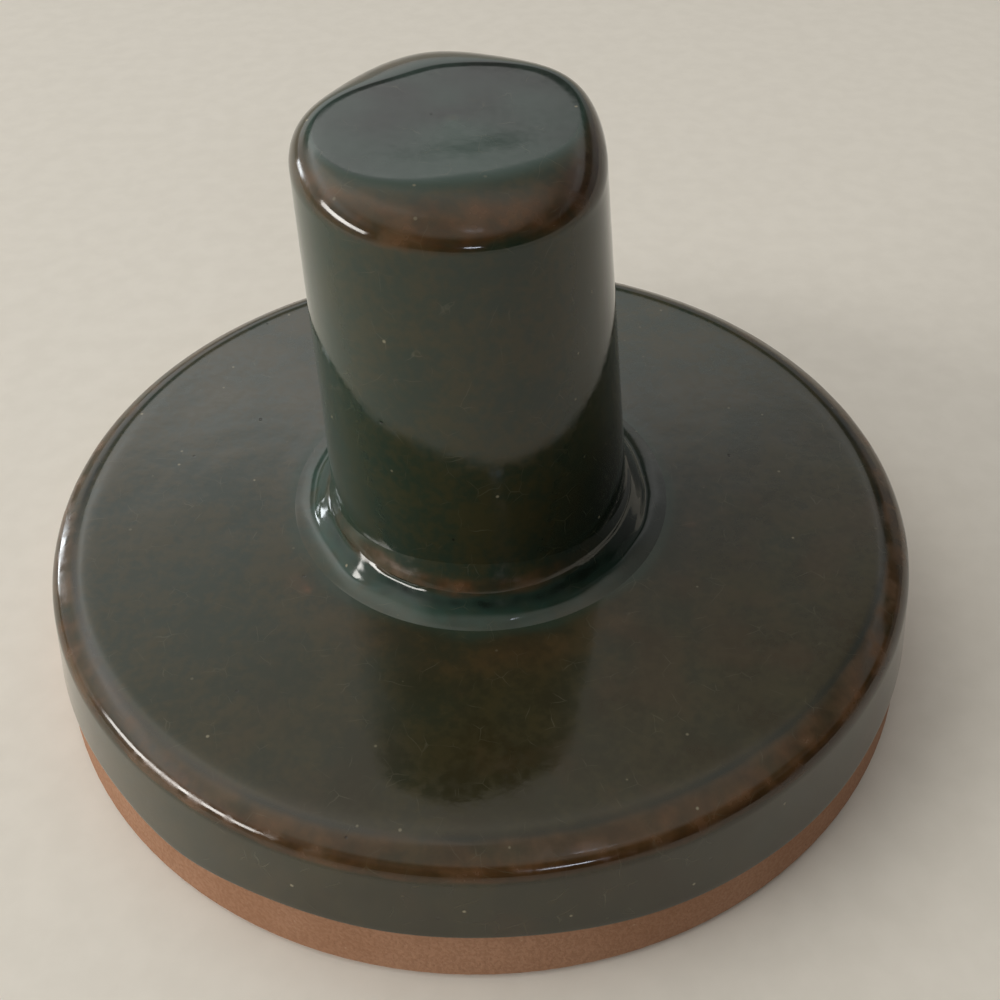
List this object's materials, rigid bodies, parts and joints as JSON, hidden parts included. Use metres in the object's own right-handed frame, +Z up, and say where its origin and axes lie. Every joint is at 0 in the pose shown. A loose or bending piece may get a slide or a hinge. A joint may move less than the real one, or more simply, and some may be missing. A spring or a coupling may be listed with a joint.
{
  "type": "cookie stamp",
  "caption": "Round terracotta cookie stamp with a carved face, a hand-formed knob and a dark green gloss glaze, pressed into dough to leave a raised rosette.",
  "frame": {"origin": "middle of the carved stamp face, on the plane it rests on", "axes": "+Z up through the knob, square to the stamp face; +Y is the back of the picture's view, +X its right"},
  "size_m": [0.0758, 0.0758, 0.0465],
  "materials": {
    "terracotta": "bare fired clay, matte and finely grained",
    "slip": "fired slip, matte",
    "green_glaze": "dark green-brown gloss glaze that breaks to brown on edges",
    "pooled_glaze": "thick teal gloss glaze"
  },
  "bodies": {
    "root": {"stamp_disc": "terracotta", "handle": "terracotta", "slip_bed": "slip", "joint_coil": "terracotta", "disc_glaze": "green_glaze", "glaze_pool": "pooled_glaze", "handle_glaze": "green_glaze"}
  },
  "joints": []
}
